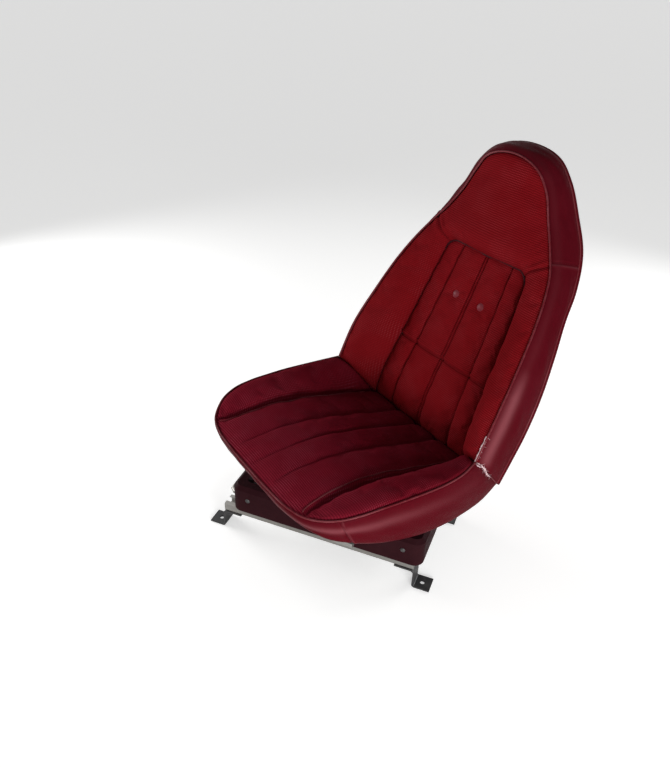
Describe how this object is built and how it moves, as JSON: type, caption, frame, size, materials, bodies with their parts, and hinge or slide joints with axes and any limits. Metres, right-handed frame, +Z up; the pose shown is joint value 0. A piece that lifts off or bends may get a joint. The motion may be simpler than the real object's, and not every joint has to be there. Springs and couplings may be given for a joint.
{
  "type": "high-back swivel bucket seat",
  "caption": "High-back bucket seat with pleated cloth panels and vinyl sides, on a swivel and slide base that bolts to a vehicle floor.",
  "frame": {"origin": "centre of the four floor bolts, on the floor", "axes": "+Z up, -Y the vehicle's forward direction along the tracks, +X the door side"},
  "size_m": [0.7711, 0.7127, 0.8853],
  "materials": {
    "cloth": "ribbed knit cloth",
    "vinyl": "grained vinyl, satin",
    "button": "covered button",
    "painted_cover": "dusty satin",
    "painted_steel": "black stove enamel",
    "bright_steel": "dull zinc"
  },
  "bodies": {
    "floor_base": {"floor_track_left": "bright_steel", "floor_track_right": "bright_steel", "foot_front_left": "painted_steel", "foot_front_right": "painted_steel", "foot_rear_left": "painted_steel", "foot_rear_right": "painted_steel"},
    "carriage": {"cross_rail_front": "painted_steel", "cross_rail_rear": "painted_steel", "pedestal_rail_left": "painted_steel", "pedestal_rail_right": "painted_steel", "pivot_stud": "bright_steel", "race_lower": "painted_steel", "side_cover_left": "painted_cover", "side_cover_right": "painted_cover", "slide_release_bar": "bright_steel", "slider_left": "bright_steel", "slider_right": "bright_steel", "swivel_base_plate": "painted_steel"},
    "seat": {"back_band": "vinyl", "back_insert": "cloth", "back_pad": "cloth", "back_shell": "vinyl", "cushion_band": "vinyl", "cushion_insert": "cloth", "cushion_pad": "cloth", "race_upper": "painted_steel", "seat_pan": "painted_steel", "seat_riser_left": "painted_steel", "seat_riser_right": "painted_steel", "swivel_lever": "bright_steel", "swivel_top_plate": "painted_steel", "tuft_buttons": "button"}
  },
  "joints": [
    {"name": "slide", "type": "slide", "parent": "floor_base", "child": "carriage", "axis": [0, -1, 0], "range_m": [-0.05, 0.1]},
    {"name": "swivel", "type": "hinge", "parent": "carriage", "child": "seat", "pos_m": [0, 0.053, 0.1595], "axis": [0, 0, 1], "range_deg": [-56.4, 33.6]}
  ]
}
